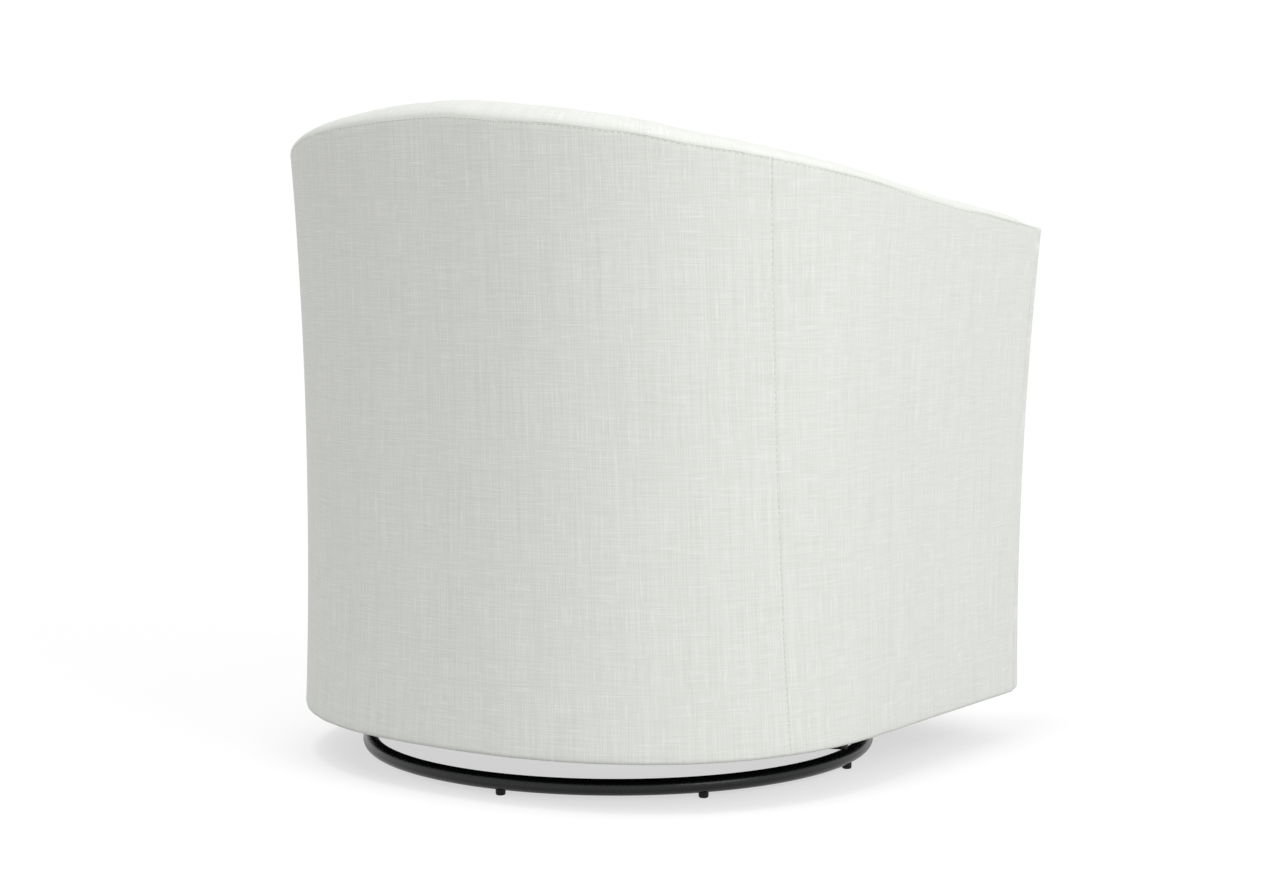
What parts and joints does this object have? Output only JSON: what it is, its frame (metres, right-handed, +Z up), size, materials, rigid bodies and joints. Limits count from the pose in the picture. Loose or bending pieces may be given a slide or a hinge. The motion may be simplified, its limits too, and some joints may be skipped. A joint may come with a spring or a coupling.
{
  "type": "swivel barrel chair",
  "caption": "Upholstered barrel chair with a wrap-round back that slopes down into the arms, on a round tubular swivel base.",
  "frame": {"origin": "on the floor, on the swivel axis", "axes": "+Z up along the swivel axis, the sitter faces -Y, +X to the sitter's left"},
  "size_m": [0.7826, 0.7302, 0.7853],
  "materials": {
    "base_steel": "satin black powder coat",
    "glide_plastic": "moulded black nylon",
    "zinc_steel": "zinc plated pressed steel",
    "spring_steel": "drawn spring wire",
    "frame_timber": "sawn hardwood and plywood",
    "liner_board": "stiff fibre board",
    "deck_cloth": "black deck cloth over felt",
    "dust_cloth": "black non-woven cloth",
    "linen_cloth": "ivory slubbed linen weave"
  },
  "bodies": {
    "base": {"base_ring": "base_steel", "crossbar_rear": "base_steel", "crossbar_front": "base_steel", "glide_1": "glide_plastic", "glide_2": "glide_plastic", "glide_3": "glide_plastic", "glide_4": "glide_plastic", "glide_5": "glide_plastic", "glide_6": "glide_plastic", "swivel_lower_plate": "zinc_steel", "king_pin": "zinc_steel", "plate_bolt_1": "zinc_steel", "plate_bolt_2": "zinc_steel", "plate_bolt_3": "zinc_steel", "plate_bolt_4": "zinc_steel"},
    "bearing": {"ball_cage": "zinc_steel"},
    "seat": {"swivel_upper_plate": "zinc_steel", "rail_bolt_1": "zinc_steel", "rail_bolt_2": "zinc_steel", "rail_bolt_3": "zinc_steel", "rail_bolt_4": "zinc_steel", "mounting_rail_rear": "frame_timber", "mounting_rail_front": "frame_timber", "bottom_frame": "frame_timber", "back_rib_left": "frame_timber", "back_rib_right": "frame_timber", "side_rib_left": "frame_timber", "side_rib_right": "frame_timber", "front_rib_left": "frame_timber", "front_rib_right": "frame_timber", "top_rail_left": "frame_timber", "top_rail_right": "frame_timber", "top_rail_back": "frame_timber", "seat_rail_left": "frame_timber", "seat_rail_right": "frame_timber", "seat_rail_front": "frame_timber", "seat_rail_back": "frame_timber", "seat_spring_1": "spring_steel", "seat_spring_2": "spring_steel", "seat_spring_3": "spring_steel", "seat_spring_4": "spring_steel", "seat_deck": "deck_cloth", "dust_cover": "dust_cloth", "barrel_liner": "liner_board", "outside_back": "linen_cloth", "outside_side_left": "linen_cloth", "outside_side_right": "linen_cloth", "outside_front_left": "linen_cloth", "outside_front_right": "linen_cloth", "inside_arm_left": "linen_cloth", "inside_arm_right": "linen_cloth", "arm_facing_left": "linen_cloth", "arm_facing_right": "linen_cloth", "inside_back": "linen_cloth", "rim_pad": "linen_cloth", "front_apron": "linen_cloth", "seat_cushion": "linen_cloth"}
  },
  "joints": [
    {"name": "seat_swivel", "type": "hinge", "parent": "base", "child": "seat", "pos_m": [0, 0, 0.05], "axis": [0, 0, 1], "continuous": true},
    {"name": "cage_roll", "type": "hinge", "parent": "base", "child": "bearing", "pos_m": [0, 0, 0.05], "axis": [0, 0, 1], "continuous": true}
  ],
  "couplings": [
    {"joint": "cage_roll", "follows": "seat_swivel", "ratio": 0.5}
  ]
}
